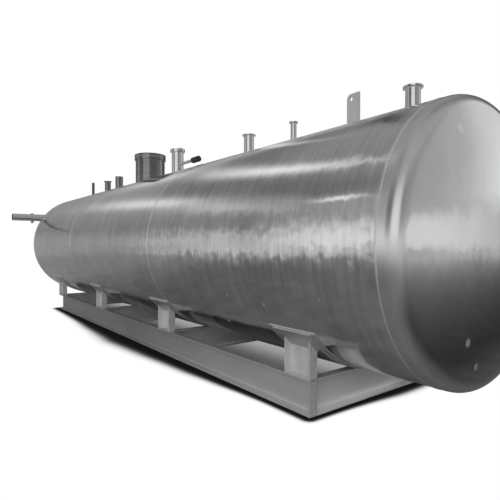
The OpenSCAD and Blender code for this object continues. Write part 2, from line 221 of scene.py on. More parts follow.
on_wall = calc(hall, "MULTIPLY", remap(hall, view["Z"], *WALL_FOOT), remap(hall, view["Z"], *WALL_TOP))
wall_gain = calc(hall, "MULTIPLY", compass_ramp(WALL_PANELS), PANEL_STRENGTH)
panel_gain = mix_values(hall, on_wall, compass_ramp(EYE_LEVEL), wall_gain)
print("walls have", len(WALL_PANELS), "stops")

# %% [markdown]
# ## Lamps, doors and a beam
# The bright lenses along the tank are lamps and open doors of the hall, mirrored in the round plate.
# Area lamps would mirror as thin hard lines, so each one is a soft patch on the dome instead: a heading,
# a height, how steeply it leans, how far it spreads both ways, and how bright it is. The roof beam is dark.
# The camera itself sees plain white behind the tank.

# %% Soft patches
PATCHES = {"roof_lamp": (186, 41.4, 0.50, 18.0, 4.0, 0.86),
           "low_lamp": (221.7, 29.5, 0.20, 3.0, 1.5, 1.05),
           "side_glow": (204, 23.2, 0.0, 9.0, 3.0, 0.24),
           "far_lamp": (190, 22.9, 0.34, 8.0, 3.2, 0.58),
           "far_door": (164.5, 23.0, 0.0, 5.0, 4.5, 0.40),
           "crown_lamp": (147, 30.0, 2.0, 5.0, 3.5, 0.50),
           "roof_beam": (136, 40.0, 1.05, 8.0, 4.5, -0.20)}
FULL_TURN = 360.0
WHITE = (1, 1, 1, 1)

degrees_round = calc(hall, "MODULO", calc(hall, "MULTIPLY_ADD", heading, DEGREES, FULL_TURN), FULL_TURN)
degrees_up = calc(hall, "MULTIPLY", climb, DEGREES)
patch_glow = 0.0
for turn, rise, slope, spread, height, bright in PATCHES.values():
    off = calc(hall, "SUBTRACT", degrees_round, turn)
    above = calc(hall, "SUBTRACT", degrees_up, rise)
    above = calc(hall, "SUBTRACT", above, calc(hall, "MULTIPLY", off, slope))
    off_share = calc(hall, "DIVIDE", off, spread)
    above_share = calc(hall, "DIVIDE", above, height)
    fall = calc(hall, "MULTIPLY", sum_of_squares(hall, off_share, above_share), -1.0)
    patch_glow = calc(hall, "MULTIPLY_ADD", calc(hall, "EXPONENT", fall), bright, patch_glow)
dome_strength = calc(hall, "MULTIPLY_ADD", dome_grey, panel_gain, patch_glow)
dome_light = add_node(hall, "ShaderNodeBackground", {"Color": WHITE, "Strength": dome_strength})
white_sight = add_node(hall, "ShaderNodeBackground", {"Color": WHITE, "Strength": 1.0})
to_camera = add_node(hall, "ShaderNodeLightPath").outputs["Is Camera Ray"]
sights = {0: to_camera, 1: dome_light.outputs[0], 2: white_sight.outputs[0]}
hall_sight = add_node(hall, "ShaderNodeMixShader", sights)
add_node(hall, "ShaderNodeOutputWorld", {"Surface": hall_sight.outputs[0]})
print("dome has", len(PATCHES), "soft patches")

# %% [markdown]
# ## Key lamp
# One wide lamp stands in front of the tank, off to the side, and lights the skid and the posts.
# Its power is worked out from how bright the lamp's own face should look. A wide face gives soft shade,
# and the face itself is kept out of the mirrored room, where it would show as a hard rectangle.

# %% Wide lamp
LAMP_START, LAMP_END = Vector((9.0, -6.0, 5.4)), Vector((4.2, -10.5, 5.4))
LAMP_WIDTH, LAMP_FACE = 3.2, 3.4
LAMP_AIM = Vector((0.0, -0.6, 0.4))

lamp_length = (LAMP_END - LAMP_START).length
lamp = bpy.data.lights.new("soft_key", "AREA")
lamp.shape = "RECTANGLE"
lamp.size = lamp_length
lamp.size_y = LAMP_WIDTH
lamp.energy = LAMP_FACE * math.pi * lamp_length * LAMP_WIDTH
lamp_holder = bpy.data.objects.new("soft_key", lamp)
scene.collection.objects.link(lamp_holder)
lamp_middle = (LAMP_START + LAMP_END) / 2
along = (LAMP_END - LAMP_START).normalized()
back = (lamp_middle - LAMP_AIM).normalized()
back = (back - along * back.dot(along)).normalized()
across = back.cross(along)
lamp_rows = [[along[i], across[i], back[i], lamp_middle[i]] for i in range(3)]
lamp_holder.matrix_world = Matrix(lamp_rows + [[0, 0, 0, 1]])
lamp_holder.visible_camera = False
lamp_holder.visible_glossy = False
print("lamp power:", round(lamp.energy), "W")

# %% [markdown]
# ## The floor that the steel sees
# The tank stands on a pale floor, and its belly mirrors it: grey close by and whiter further out.
# A floor of one grey would make the belly flat, so the white grows with the distance from the tank's
# middle line and fades towards the rear. In front, where the end mirrors it, the floor has its own greys.

# %% Floor, near and far
FLOOR_HALF, FLOOR_DROP = 60.0, -0.001
TANK_MIDDLE, TANK_HALF = -3.5, 4.4

floor_mesh = bpy.data.meshes.new("floor")
floor_signs = ((-1, -1), (1, -1), (1, 1), (-1, 1))
floor_corners = [(a * FLOOR_HALF, b * FLOOR_HALF, FLOOR_DROP) for a, b in floor_signs]
floor_mesh.from_pydata(floor_corners, [], [(0, 1, 2, 3)])
floor = bpy.data.objects.new("floor", floor_mesh)
scene.collection.objects.link(floor)

floor_finish = bpy.data.materials.new("pale_floor")
floor_finish.use_nodes = True
ground = floor_finish.node_tree
ground.nodes.clear()
ground_place = add_node(ground, "ShaderNodeNewGeometry").outputs["Position"]
spot = split(ground, ground_place)
from_middle = calc(ground, "ABSOLUTE", calc(ground, "SUBTRACT", spot["X"], TANK_MIDDLE))
beyond_end = calc(ground, "MAXIMUM", calc(ground, "SUBTRACT", from_middle, TANK_HALF), 0.0)
off_line = calc(ground, "SQRT", sum_of_squares(ground, beyond_end, spot["Y"]))
side_white = remap(ground, off_line, 2.8, 12.5, 0.0, 0.56)
off_axis_plane = calc(ground, "ABSOLUTE", spot["Y"])
bearing = calc(ground, "DIVIDE", spot["X"], calc(ground, "ADD", off_axis_plane, 1.0))
side_white = calc(ground, "MULTIPLY", side_white, remap(ground, bearing, -2.4, -1.2, 0.22, 1.0))
front_white = remap(ground, spot["X"], 2.0, 18.0, 0.0, 0.50, smooth=False)
past_end = remap(ground, spot["X"], 0.6, 2.0)
in_front = calc(ground, "MULTIPLY", past_end, remap(ground, spot["Y"], -2.4, -0.6))
far_white = mix_values(ground, in_front, side_white, front_white)
speckle = noise(ground, scaled(ground, ground_place, 3.0), 4.0)
side_grey = greys(ground, speckle, [(0.3, 0.32), (0.7, 0.42)])
front_grey = greys(ground, speckle, [(0.3, 0.07), (0.7, 0.10)])
near_grey = mix_colours(ground, in_front, side_grey, front_grey)
near_grey = scaled(ground, near_grey, remap(ground, spot["X"], -8.0, -3.0, 1.8, 1.0))
print("floor is", 2 * FLOOR_HALF, "m wide")

# %% [markdown]
# ## The floor that the camera sees
# To the camera the floor is white, as in a catalogue picture, with the dark line of shadow where the skid
# stands on it. A lamp's own shadow would be lost on a floor that glows white, so this one is drawn:
# a ramp over the distance from the skid's outline. It is widest beside the middle of the skid,
# and in front it widens towards the right rail. Inside the skid's outline the floor is painted grey too:
# painted shade under the tank, darker towards the near rail.

# %% Shadow of the skid
SHADOW_REACH = 0.12
SHADOW_GREYS = [(0.0, 0.005), (0.28, 0.01), (0.38, 0.06), (0.48, 0.35),
                (0.58, 0.75), (0.7, 0.96), (0.8, 1.0)]
SIDE_SHRINK = [(-7.0, 0.50), (-4.6, 0.25), (-3.4, 0.19), (-2.45, 0.24),
               (-1.53, 0.34), (-1.0, 0.48), (-0.4, 0.80)]
SKID_SPAN = 7.2

skid_low, skid_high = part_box("left_rail")[0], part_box("right_rail")[1]
skid_middle, skid_half = (skid_low.x + skid_high.x) / 2, (skid_high.x - skid_low.x) / 2
out_x = calc(ground, "ABSOLUTE", calc(ground, "SUBTRACT", spot["X"], skid_middle))
out_x = calc(ground, "SUBTRACT", out_x, skid_half)
out_y = calc(ground, "SUBTRACT", off_axis_plane, skid_high.y)
along_skid = calc(ground, "DIVIDE", calc(ground, "ADD", spot["X"], SKID_SPAN), SKID_SPAN, clamp=True)
side_shrink = greys(ground, along_skid, [((x + SKID_SPAN) / SKID_SPAN, share) for x, share in SIDE_SHRINK])
front_shrink = remap(ground, spot["Y"], -0.6, 0.4, 0.9, 0.45)
gap_x = calc(ground, "MULTIPLY", calc(ground, "MAXIMUM", out_x, 0.0), front_shrink)
gap_y = calc(ground, "MULTIPLY", calc(ground, "MAXIMUM", out_y, 0.0), side_shrink)
gap = calc(ground, "SQRT", sum_of_squares(ground, gap_x, gap_y))
shadow = greys(ground, calc(ground, "DIVIDE", gap, SHADOW_REACH), SHADOW_GREYS)
inside = calc(ground, "LESS_THAN", calc(ground, "MAXIMUM", out_x, out_y), 0.0)
# Painted shade: inside the skid's outline the glowing floor is grey, darker towards the near rail.
painted_shade_under_tank = remap(ground, spot["Y"], 0.0, 0.62, 0.10, 0.36)
seen_white = mix_colours(ground, inside, shadow, painted_shade_under_tank)

rays = add_node(ground, "ShaderNodeLightPath").outputs
mirrored = calc(ground, "MAXIMUM", rays["Is Glossy Ray"], rays["Is Transmission Ray"])
white_share = calc(ground, "MULTIPLY", mirrored, far_white)
white_share = calc(ground, "MAXIMUM", rays["Is Camera Ray"], white_share)
glow = add_node(ground, "ShaderNodeEmission", {"Color": seen_white, "Strength": 1.0})
matt = add_node(ground, "ShaderNodeBsdfDiffuse", {"Color": near_grey})
floor_sights = {0: white_share, 1: matt.outputs[0], 2: glow.outputs[0]}
floor_sight = add_node(ground, "ShaderNodeMixShader", floor_sights)
add_node(ground, "ShaderNodeOutputMaterial", {"Surface": floor_sight.outputs[0]})
floor_mesh.materials.append(floor_finish)
print("shadow reaches", SHADOW_REACH, "m past the skid's ends")

# %% [markdown]
# ## A recipe for stainless steel
# All the steel here is taken as one alloy, and only the way it was worked differs: rolled and polished,
# pressed, cut and brushed, turned. One recipe makes them all: streaks along the working direction in colour
# and roughness, soft smudges, and a lean of the surface that bends the mirrored room as wavy plate does.
# The lean is added to the surface normal, because streaks too fine for the mesh still have to catch light.
# It is calmer on faces that look up or down, where the photo's highlights are smooth.

# %% Steel recipe
WAVE_SCALE = (0.8, 1.5, 1.5)
CALM_UP, CALM_DOWN = (0.10, 0.34, 1.0, 0.14), (-0.5, -0.08, 0.45, 1.0)
GREEN_SHARE, BLUE_SHARE = 1.012, 1.002


def leaned(tree, normal, lean, upright):
    if upright:
        tilt = add_node(tree, "ShaderNodeCombineXYZ", {2: lean}).outputs[0]
    else:
        round_tank = vec(tree, "NORMALIZE", vec(tree, "CROSS_PRODUCT", normal, (1, 0, 0)))
        tilt = scaled(tree, round_tank, lean)
    return vec(tree, "NORMALIZE", vec(tree, "ADD", normal, tilt))


def steel(name, grey, gloss, streak_scale, metal=1.0, streak_lean=0.0, wave_lean=0.0, dimple_lean=0.0,
          dimple_scale=(10, 10, 10), upright=False, smudge_scale=2.2, mottle=0.06, extra=None):
    finish = bpy.data.materials.new(name)
    finish.use_nodes = True
    tree = finish.node_tree
    shader = tree.nodes["Principled BSDF"]
    place = add_node(tree, "ShaderNodeTexCoord").outputs["Object"]
    streak = noise(tree, vec(tree, "MULTIPLY", place, streak_scale), 4.0, 0.6)
    smudge = noise(tree, scaled(tree, place, smudge_scale), 5.0, 0.6)
    blend = calc(tree, "ADD", calc(tree, "MULTIPLY", streak, 0.5), calc(tree, "MULTIPLY", smudge, 0.5))
    parts = {"tree": tree, "place": place, "smudge": smudge, "lean_gain": 1.0}
    parts["tone"] = remap(tree, blend, 0.32, 0.68, grey - mottle, grey + mottle)
    parts["dullness"] = remap(tree, blend, 0.34, 0.66, *gloss)
    if extra:
        extra(parts)
    normal = add_node(tree, "ShaderNodeNewGeometry").outputs["Normal"]
    if streak_lean or wave_lean or dimple_lean:
        wave = noise(tree, vec(tree, "MULTIPLY", place, WAVE_SCALE), 2.0, 0.45)
        dimple = noise(tree, vec(tree, "MULTIPLY", place, dimple_scale), 3.0, 0.55)
        lean = 0.0
        for pattern, amount in ((streak, streak_lean), (wave, wave_lean), (dimple, dimple_lean)):
            lean = calc(tree, "MULTIPLY_ADD", calc(tree, "SUBTRACT", pattern, 0.5), amount, lean)
        upward = split(tree, normal)["Z"]
        calm = calc(tree, "MULTIPLY", remap(tree, upward, *CALM_UP), remap(tree, upward, *CALM_DOWN))
        lean = calc(tree, "MULTIPLY", calc(tree, "MULTIPLY", lean, calm), parts["lean_gain"])
        normal = leaned(tree, normal, lean, upright)
    tone = parts["tone"]
    green = calc(tree, "MULTIPLY", tone, GREEN_SHARE)
    blue = calc(tree, "MULTIPLY", tone, BLUE_SHARE)
    colour = add_node(tree, "ShaderNodeCombineColor", {0: tone, 1: green, 2: blue})
    tree.links.new(colour.outputs[0], shader.inputs["Base Color"])
    tree.links.new(parts["dullness"], shader.inputs["Roughness"])
    tree.links.new(normal, shader.inputs["Normal"])
    shader.inputs["Metallic"].default_value = metal
    return finish


print("steel recipe ready")

# %% [markdown]
# ## The rolled shell
# The plates were polished before rolling, so fine streaks run round the tank. Near each girth seam
# a band was ground bright again after welding, and a few scuffs from handling stay on the belly.
# The bands are measured from the seams, which the CAD boxes give.
# By the front seam the crown is a little dented, so the lean is stronger there.

# %% Shell finish
AXIS_Z = (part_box("front_shell")[0].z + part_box("front_shell")[1].z) / 2
SEAMS = [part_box("front_head")[0].x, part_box("front_shell")[0].x,
         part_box("middle_shell")[0].x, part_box("rear_shell")[0].x]
BAND_EDGE, BAND_CORE, BAND_RAGGED = 0.045, 0.015, 0.02
BAND_TONE, BAND_DULL = 0.10, 0.10
SCUFF_TONE, SCUFF_DULL = 0.20, 0.40
SHELL_SCUFFS = [((-0.28, -0.88, 0.83), 0.028), ((-1.02, -0.69, 0.58), 0.030),
                ((0.35, -0.93, 0.93), 0.018), ((-0.75, -0.90, 0.86), 0.02)]
CROWN_DENTS = 5.0


def shift(parts, share, tone, dullness):
    tree = parts["tree"]
    parts["tone"] = calc(tree, "MULTIPLY_ADD", share, tone, parts["tone"])
    parts["dullness"] = calc(tree, "MULTIPLY_ADD", share, dullness, parts["dullness"])


def seam_bands(parts):
    tree = parts["tree"]
    along = split(tree, parts["place"])["X"]
    for seam in SEAMS:
        off = calc(tree, "ABSOLUTE", calc(tree, "SUBTRACT", along, seam))
        ragged = calc(tree, "MULTIPLY_ADD", parts["smudge"], BAND_RAGGED, off)
        shift(parts, remap(tree, ragged, BAND_EDGE, BAND_CORE), BAND_TONE, BAND_DULL)


def scuffed(parts, scuffs):
    tree = parts["tree"]
    for place, size in scuffs:
        away = vec(tree, "DISTANCE", parts["place"], place, output="Value")
        shift(parts, remap(tree, away, size, size * 0.4), SCUFF_TONE, SCUFF_DULL)


def shell_marks(parts):
    tree = parts["tree"]
    seam_bands(parts)
    scuffed(parts, SHELL_SCUFFS)
    place = split(tree, parts["place"])
    near_seam = remap(tree, place["X"], 0.25, 0.75)
    by_seam = calc(tree, "MULTIPLY", near_seam, remap(tree, place["Z"], 1.6, 1.95))
    parts["lean_gain"] = calc(tree, "MULTIPLY_ADD", by_seam, CROWN_DENTS, 1.0)


shell_finish = steel("rolled_plate", 0.66, (0.07, 0.15), (34.0, 1.6, 1.6), streak_lean=0.04, wave_lean=0.08,
                     dimple_lean=0.27, dimple_scale=(13, 12, 12), mottle=0.10, extra=shell_marks)
print("shell finish has", len(SEAMS), "ground bands and", len(SHELL_SCUFFS), "scuffs")

# %% [markdown]
# ## The pressed ends' finish
# An end is pressed from one disc, so it mirrors more evenly than the rolled plates. It keeps a few scuffs
# and one dented place in the middle. Its turned edge is duller than the dish: a sharp mirror there
# would show hard streaks that the photo doesn't have.

# %% End finish
HEAD_SCUFFS = [((1.001, -0.378, 2.007), 0.040), ((1.012, -0.295, 0.682), 0.042),
               ((1.000, -0.162, 0.506), 0.036)]
DENT_PLACE, DENT_SIZE, DENT_GAIN = (1.033, -0.22, 1.45), 0.45, 3.0
EDGE_FROM, EDGE_TO = 0.91, 0.95
EDGE_TONE, EDGE_DULL = 0.05, 0.16


def head_marks(parts):
    tree = parts["tree"]
    scuffed(parts, HEAD_SCUFFS)
    away = vec(tree, "DISTANCE", parts["place"], DENT_PLACE, output="Value")
    parts["lean_gain"] = remap(tree, away, DENT_SIZE, DENT_SIZE * 0.3, 1.0, DENT_GAIN)
    from_axis = vec(tree, "SUBTRACT", parts["place"], (0, 0, AXIS_Z))
    radius = vec(tree, "LENGTH", vec(tree, "MULTIPLY", from_axis, (0, 1, 1)), output="Value")
    shift(parts, remap(tree, radius, EDGE_FROM, EDGE_TO), EDGE_TONE, EDGE_DULL)


head_finish = steel("pressed_end", 0.68, (0.06, 0.12), (2.0, 5.0, 2.0), dimple_lean=0.035,
                    dimple_scale=(8, 13, 9), upright=True, smudge_scale=1.6, mottle=0.04, extra=head_marks)
print("end finish has", len(HEAD_SCUFFS), "scuffs")

# %% [markdown]
# ## The skid's finish
# The skid is rolled channel with a satin face. In the photo the left rail gets darker towards the rear,
# and the front beam lighter low down. Lamps could do that, but they would change the other pieces too,
# so a slow change of tone along the piece stands in for that shade: painted shade and painted light. All
# the skid's other faces are painted a little lighter too, as painted light.

# %% Skid finish
RAIL_WEB_Y = -0.625
RAIL_PAINTED_SHADING = (-3.2, 0.0, -0.27, 0.10)
INNER_PAINTED_LIGHT = 0.12
BEAM_FRONT, BEAM_PAINTED_LIGHT = (-0.06, -0.045), (0.26, 0.0, 0.08, 0.24)


def skid_painted_shading(parts):
    tree = parts["tree"]
    place = split(tree, parts["place"])
    # Painted shading: the left rail's outer face darker to the rear, the front beam lighter low down, other
    # faces lighter.
    outer_painted_shading = remap(tree, place["X"], *RAIL_PAINTED_SHADING, smooth=False)
    on_beam = remap(tree, place["X"], *BEAM_FRONT)
    beam_painted_light = calc(tree, "MULTIPLY", on_beam, remap(tree, place["Z"], *BEAM_PAINTED_LIGHT))
    inner_painted_light = calc(tree, "ADD", beam_painted_light, INNER_PAINTED_LIGHT)
    outer_side = calc(tree, "LESS_THAN", place["Y"], RAIL_WEB_Y)
    parts["tone"] = calc(tree, "ADD", parts["tone"], mix_values(tree, outer_side, inner_painted_light, outer_painted_shading))


skid_finish = steel("skid_channel", 0.66, (0.34, 0.40), (0.8, 9.0, 9.0), metal=0.45, smudge_scale=3.0,
                    mottle=0.04, extra=skid_painted_shading)
print("skid finish made")

# %% [markdown]
# ## The other steel finishes
# Plates and posts are cut and brushed, and pipes are turned. The manway and the two rear pipes get a darker
# copy of the pipe steel, painted shade for the darker room they mirror; the rear lug is given a dark grey,
# and the welds are bright and plain.
# Each could have a tree of its own, but only the recipe's numbers differ.

# %% Plates, pipes, lugs and welds
pad_finish = steel("saddle_plate", 0.50, (0.24, 0.38), (40.0, 2.0, 2.0), metal=0.7)
post_finish = steel("post_channel", 0.82, (0.34, 0.48), (20.0, 20.0, 2.0), metal=0.35, smudge_scale=9.0,
                    mottle=0.08)
turned_finish = steel("turned_pipe", 0.70, (0.04, 0.09), (3.0, 3.0, 190.0))
# Painted shade: the manway and the two rear pipes share this darker copy of the pipe steel.
manway_finish = steel("manway_plate", 0.23, (0.12, 0.22), (3.0, 3.0, 150.0), mottle=0.05)
side_pipe_finish = steel("level_pipe", 0.70, (0.10, 0.20), (3.0, 190.0, 3.0), mottle=0.03)
lug_finish = steel("cut_plate", 0.66, (0.30, 0.42), (24.0, 24.0, 4.0), metal=0.5, smudge_scale=8.0)
# The rear lug is given a dark grey.
dark_lug_finish = steel("dark_cut_plate", 0.13, (0.40, 0.55), (24.0, 24.0, 4.0), metal=0.6, smudge_scale=8.0,
                        mottle=0.04)
weld_finish = steel("weld_metal", 0.82, (0.28, 0.36), (60.0, 60.0, 60.0), metal=0.8, smudge_scale=40.0,
                    mottle=0.04)
print("finishes so far, with the floor:", len(bpy.data.materials))

# %% [markdown]
# ## Plug and seal
# The plug is moulded plastic and the lid lies on a rubber seal. Neither is shiny: a fine grain
# breaks up the light, so both take a bump from noise.

# %% Plastic and rubber
DUST_SCALE = 22.0


def moulded(name, dark, light, rough, grain_size, depth):
    finish = bpy.data.materials.new(name)
    finish.use_nodes = True
    tree = finish.node_tree
    shader = tree.nodes["Principled BSDF"]
    place = add_node(tree, "ShaderNodeTexCoord").outputs["Object"]
    grain = noise(tree, scaled(tree, place, 1.0 / grain_size), 3.0, 0.6)
    dust = noise(tree, scaled(tree, place, DUST_SCALE), 4.0, 0.6)
    tone = remap(tree, dust, 0.35, 0.75, dark, light)
    colour = add_node(tree, "ShaderNodeCombineColor", {0: tone, 1: tone, 2: tone})
    tree.links.new(colour.outputs[0], shader.inputs["Base Color"])
    tree.links.new(remap(tree, dust, 0.3, 0.7, rough - 0.1, rough + 0.1), shader.inputs["Roughness"])
    bump = add_node(tree, "ShaderNodeBump", {"Height": grain, "Strength": 0.5, "Distance": depth})
    tree.links.new(bump.outputs[0], shader.inputs["Normal"])
    return finish


plug_finish = moulded("black_plug", 0.012, 0.035, 0.42, 0.0015, 0.0006)
seal_finish = moulded("white_seal", 0.62, 0.80, 0.62, 0.002, 0.0005)
print("plug and seal finishes made")

# %% [markdown]
# ## Putting the finishes on
# Each CAD node keeps its shape. Its faces are set to smooth shading, with hard edges kept sharp,
# so that the round plates mirror the room without facets. A pipe that isn't listed is turned.

# %% Finish for each node
SHARP_EDGE = 28
FINISH_OF = {"front_head": head_finish, "rear_head": head_finish,
             "vent_plug": plug_finish, "manway_seal": seal_finish,
             "front_lug": lug_finish, "rear_lug": dark_lug_finish}
SHARED = {"shell": (shell_finish, ["front_shell", "middle_shell", "rear_shell"]),
          "skid": (skid_finish, ["left_rail", "right_rail", "left_rail_cap", "front_end_beam",
                                 "second_beam", "third_beam", "rear_end_beam"]),
          "manway": (manway_finish, ["manway_neck", "manway_ring", "manway_lid",
                                     "rear_inner_nozzle", "rear_outer_nozzle"]),
          "level pipes": (side_pipe_finish, ["outlet_stub", "outlet_clamp", "outlet_pipe", "vent_branch"])}
SADDLES = range(1, 5)
for finish, nodes in SHARED.values():
    FINISH_OF.update({node: finish for node in nodes})
for place in SADDLES:
    FINISH_OF[f"wear_pad_{place}"] = pad_finish
    FINISH_OF[f"saddle_plate_{place}"] = pad_finish
    FINISH_OF[f"posts_{place}"] = post_finish


def smoothed(mesh, sharp_edge=None):
    mesh.polygons.foreach_set("use_smooth", [True] * len(mesh.polygons))
    if sharp_edge:
        mesh.set_sharp_from_angle(angle=math.radians(sharp_edge))


for name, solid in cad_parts.items():
    solid.data.materials.clear()
    solid.data.materials.append(FINISH_OF.get(name, turned_finish))
    smoothed(solid.data, SHARP_EDGE)
print("finishes on", len(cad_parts), "nodes")

# %% [markdown]
# ## Weld beads
# Welders join the pieces with beads: a row of small overlapping ripples, a few millimetres wide.
# A bevelled curve would make a smooth cord, so the bead is built ring by ring along its path,
# and every second ring swells a little. The rings sink half into the plate.

# %% Bead maker
BEAD_SIDES = 8
SWELL, PINCH, TIP = 1.05, 0.97, 0.5


def bead(name, path, half_width, height, closed=False):
    count = len(path)
    corners, faces = [], []
    for i, (point, out) in enumerate(path):
        ahead = path[(i + 1) % count][0] if closed or i + 1 < count else point
        behind = path[i - 1][0] if closed or i else point
        run = (ahead - behind).normalized()
        out = (out - run * out.dot(run)).normalized()
        side = run.cross(out)
        swell = SWELL if i % 2 else PINCH
        if not closed and i in (0, count - 1):
            swell = TIP
        for k in range(BEAD_SIDES):
            turn = 2 * math.pi * k / BEAD_SIDES
            sideways = side * (half_width * swell * math.cos(turn))
            outwards = out * (height * swell * math.sin(turn))
            corners.append(point + sideways + outwards)
    for i in range(count if closed else count - 1):
        a, b = i * BEAD_SIDES, (i + 1) % count * BEAD_SIDES
        for k in range(BEAD_SIDES):
            n = (k + 1) % BEAD_SIDES
            faces.append((a + k, b + k, b + n, a + n))
    if not closed:
        faces.append(tuple(range(BEAD_SIDES)))
        faces.append(tuple(reversed(range((count - 1) * BEAD_SIDES, count * BEAD_SIDES))))
    mesh = bpy.data.meshes.new(name)
    mesh.from_pydata(corners, [], faces)
    mesh.materials.append(weld_finish)
    smoothed(mesh)
    return mesh


print("bead maker ready, rings have", BEAD_SIDES, "sides")

# %% [markdown]
# ## Joining beads into one piece
# All the beads of one kind are one piece, so that they ride together.
# A second helper walks along a row of corners in even steps, which a bead needs for even ripples.

# %% Joining and walking
def joined(name, meshes):
    holder = bpy.data.objects.new(name, meshes[0])
    scene.collection.objects.link(holder)
    others = []
    for mesh in meshes[1:]:
        other = bpy.data.objects.new(name + "_part", mesh)
        scene.collection.objects.link(other)
        others.append(other)
    with bpy.context.temp_override(active_object=holder, selected_editable_objects=[holder] + others):
        bpy.ops.object.join()
    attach(holder, "root")
    return holder


def walk(corners, step, closed=False):
    ends = corners[1:] + corners[:1] if closed else corners[1:]
    spots = []
    for a, b in zip(corners, ends):
        pieces = max(1, round((b - a).length / step))
        spots += [a.lerp(b, i / pieces) for i in range(pieces)]
    return spots if closed else spots + [corners[-1]]


print("joining and walking ready")

# %% [markdown]
# ## Girth seams
# The three courses and the two ends meet in four girth seams, welded all the way round.
# Each course was rolled from flat plate, so it also has one lengthwise seam, turned to the far side.

# %% Girth and lengthwise seams
TANK_R = (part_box("front_shell")[1].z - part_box("front_shell")[0].z) / 2
RINGS, RIPPLE = 2200, 0.005
SEAM_CLEAR = 0.01
GIRTH_SIZE, LENGTHWISE_SIZE = (0.0065, 0.0022), (0.005, 0.0018)
LENGTHWISE_TURNS = (62, 48, 66)


def on_shell(x, angle):
    out = Vector((0.0, math.sin(angle), math.cos(angle)))
    return Vector((x, 0.0, AXIS_Z)) + out * TANK_R, out


seam_beads = []
for seam in SEAMS:
    circle = [on_shell(seam, 2 * math.pi * i / RINGS) for i in range(RINGS)]
    seam_beads.append(bead("girth_seam", circle, *GIRTH_SIZE, closed=True))
for start, end, angle in zip(SEAMS, SEAMS[1:], LENGTHWISE_TURNS):
    steps = int((start - end - 2 * SEAM_CLEAR) / RIPPLE)
    line = [on_shell(start - SEAM_CLEAR - i * RIPPLE, math.radians(angle)) for i in range(steps)]
    seam_beads.append(bead("lengthwise_seam", line, *LENGTHWISE_SIZE))
shell_welds = joined("shell_welds", seam_beads)
print("shell welds:", len(shell_welds.data.polygons), "faces")

# %% [markdown]
# ## Saddle welds
# Each wear pad is welded to the shell all round, and the saddle plate to the pad. The fillets sit in
# the corner between the plate's edge and what it lies on, so their outward line is half way
# between the two faces.

# %% Pad and plate welds
WELD_STEP = 0.006
ARC_STEPS = 200
PLATE_THICK = {"wear_pad": 0.008, "saddle_plate": 0.010}
PLATE_WELD, PLATE_LIFT = 0.0055, 0.001
AHEAD = Vector((1, 0, 0))


def plate_outline(low, high, radius, half_angle):
    arc = [half_angle * (2 * i / ARC_STEPS - 1) for i in range(ARC_STEPS + 1)]
    reach = int((high - low) / WELD_STEP)

    def edge_spot(x, angle, beside):
        out = Vector((0.0, math.sin(angle), -math.cos(angle)))
        return Vector((x, 0, AXIS_Z)) + out * radius, (out + beside).normalized()

    def end_turn(hand):
        return Vector((0.0, hand * math.cos(half_angle), math.sin(half_angle)))

    spots = [edge_spot(high, angle, AHEAD) for angle in arc]
    spots += [edge_spot(high - i * WELD_STEP, half_angle, end_turn(1)) for i in range(1, reach)]
    spots += [edge_spot(low, angle, -AHEAD) for angle in reversed(arc)]
    spots += [edge_spot(low + i * WELD_STEP, -half_angle, end_turn(-1)) for i in range(1, reach)]
    return spots


saddle_beads = []
for place in SADDLES:
    for kind, thick in PLATE_THICK.items():
        low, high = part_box(f"{kind}_{place}")
        outer = AXIS_Z - low.z
        edge = plate_outline(low.x, high.x, outer - thick + PLATE_LIFT, math.asin(high.y / outer))
        saddle_beads.append(bead("plate_edge", edge, PLATE_WELD, PLATE_WELD, closed=True))
saddle_welds = joined("saddle_welds", saddle_beads)
print("saddle welds:", len(saddle_welds.data.polygons), "faces")

# %% [markdown]
# ## Turning an outline into a solid
# Ends, bolts and nuts are all round. A screw modifier could turn their outlines, but this helper
# also closes the points on the axis, so that no stray edges or double points are left in the mesh.

# %% Spinning helper
TOUCHING = 1e-6


def revolved(name, outline, steps, finish):
    work = bmesh.new()
    loops = []
    for i in range(steps):
        turn = 2 * math.pi * i / steps
        loops.append([work.verts.new((r * math.cos(turn), r * math.sin(turn), h)) for r, h in outline])
    count = len(outline)
    for i in range(steps):
        here, there = loops[i], loops[(i + 1) % steps]
        for k in range(count):
            n = (k + 1) % count
            work.faces.new((here[k], there[k], there[n], here[n]))
    bmesh.ops.remove_doubles(work, verts=work.verts, dist=TOUCHING)
    stray = [edge for edge in work.edges if not edge.link_faces]
    bmesh.ops.delete(work, geom=stray, context="EDGES")
    bmesh.ops.recalc_face_normals(work, faces=work.faces)
    mesh = bpy.data.meshes.new(name)
    work.to_mesh(mesh)
    work.free()
    mesh.materials.append(finish)
    smoothed(mesh, SHARP_EDGE)
    return mesh


print("spinning helper ready")

# %% [markdown]
# ## Pressed ends
# Each end was pressed from one disc: a short straight rim, a turned edge, and a very shallow dish.
# The CAD mesh is coarse in the middle, where all its triangles meet, and a mirror shows that at once.
# So the same outline is spun again here with even rings, and stands for the CAD node.

# %% Spun ends
HEAD_WALL, HEAD_RIM, TURNED_EDGE, DISH = 0.006, 0.055, 0.100, 8.0
EDGE_STEPS, DISH_STEPS, ROUND_STEPS = 16, 22, 192


def end_curve(inset):
    edge, dish = TURNED_EDGE - inset, DISH - inset
    middle = TANK_R - TURNED_EDGE
    drop = math.sqrt((DISH - TURNED_EDGE) ** 2 - middle ** 2)
    meet = math.atan2(drop, middle)
    points = [(TANK_R - inset, 0.0)]
    for i in range(EDGE_STEPS + 1):
        turn = meet * i / EDGE_STEPS
        points.append((middle + edge * math.cos(turn), HEAD_RIM + edge * math.sin(turn)))
    for i in range(1, DISH_STEPS + 1):
        turn = meet + (math.pi / 2 - meet) * i / DISH_STEPS
        points.append((max(0.0, dish * math.cos(turn)), HEAD_RIM - drop + dish * math.sin(turn)))
    return points


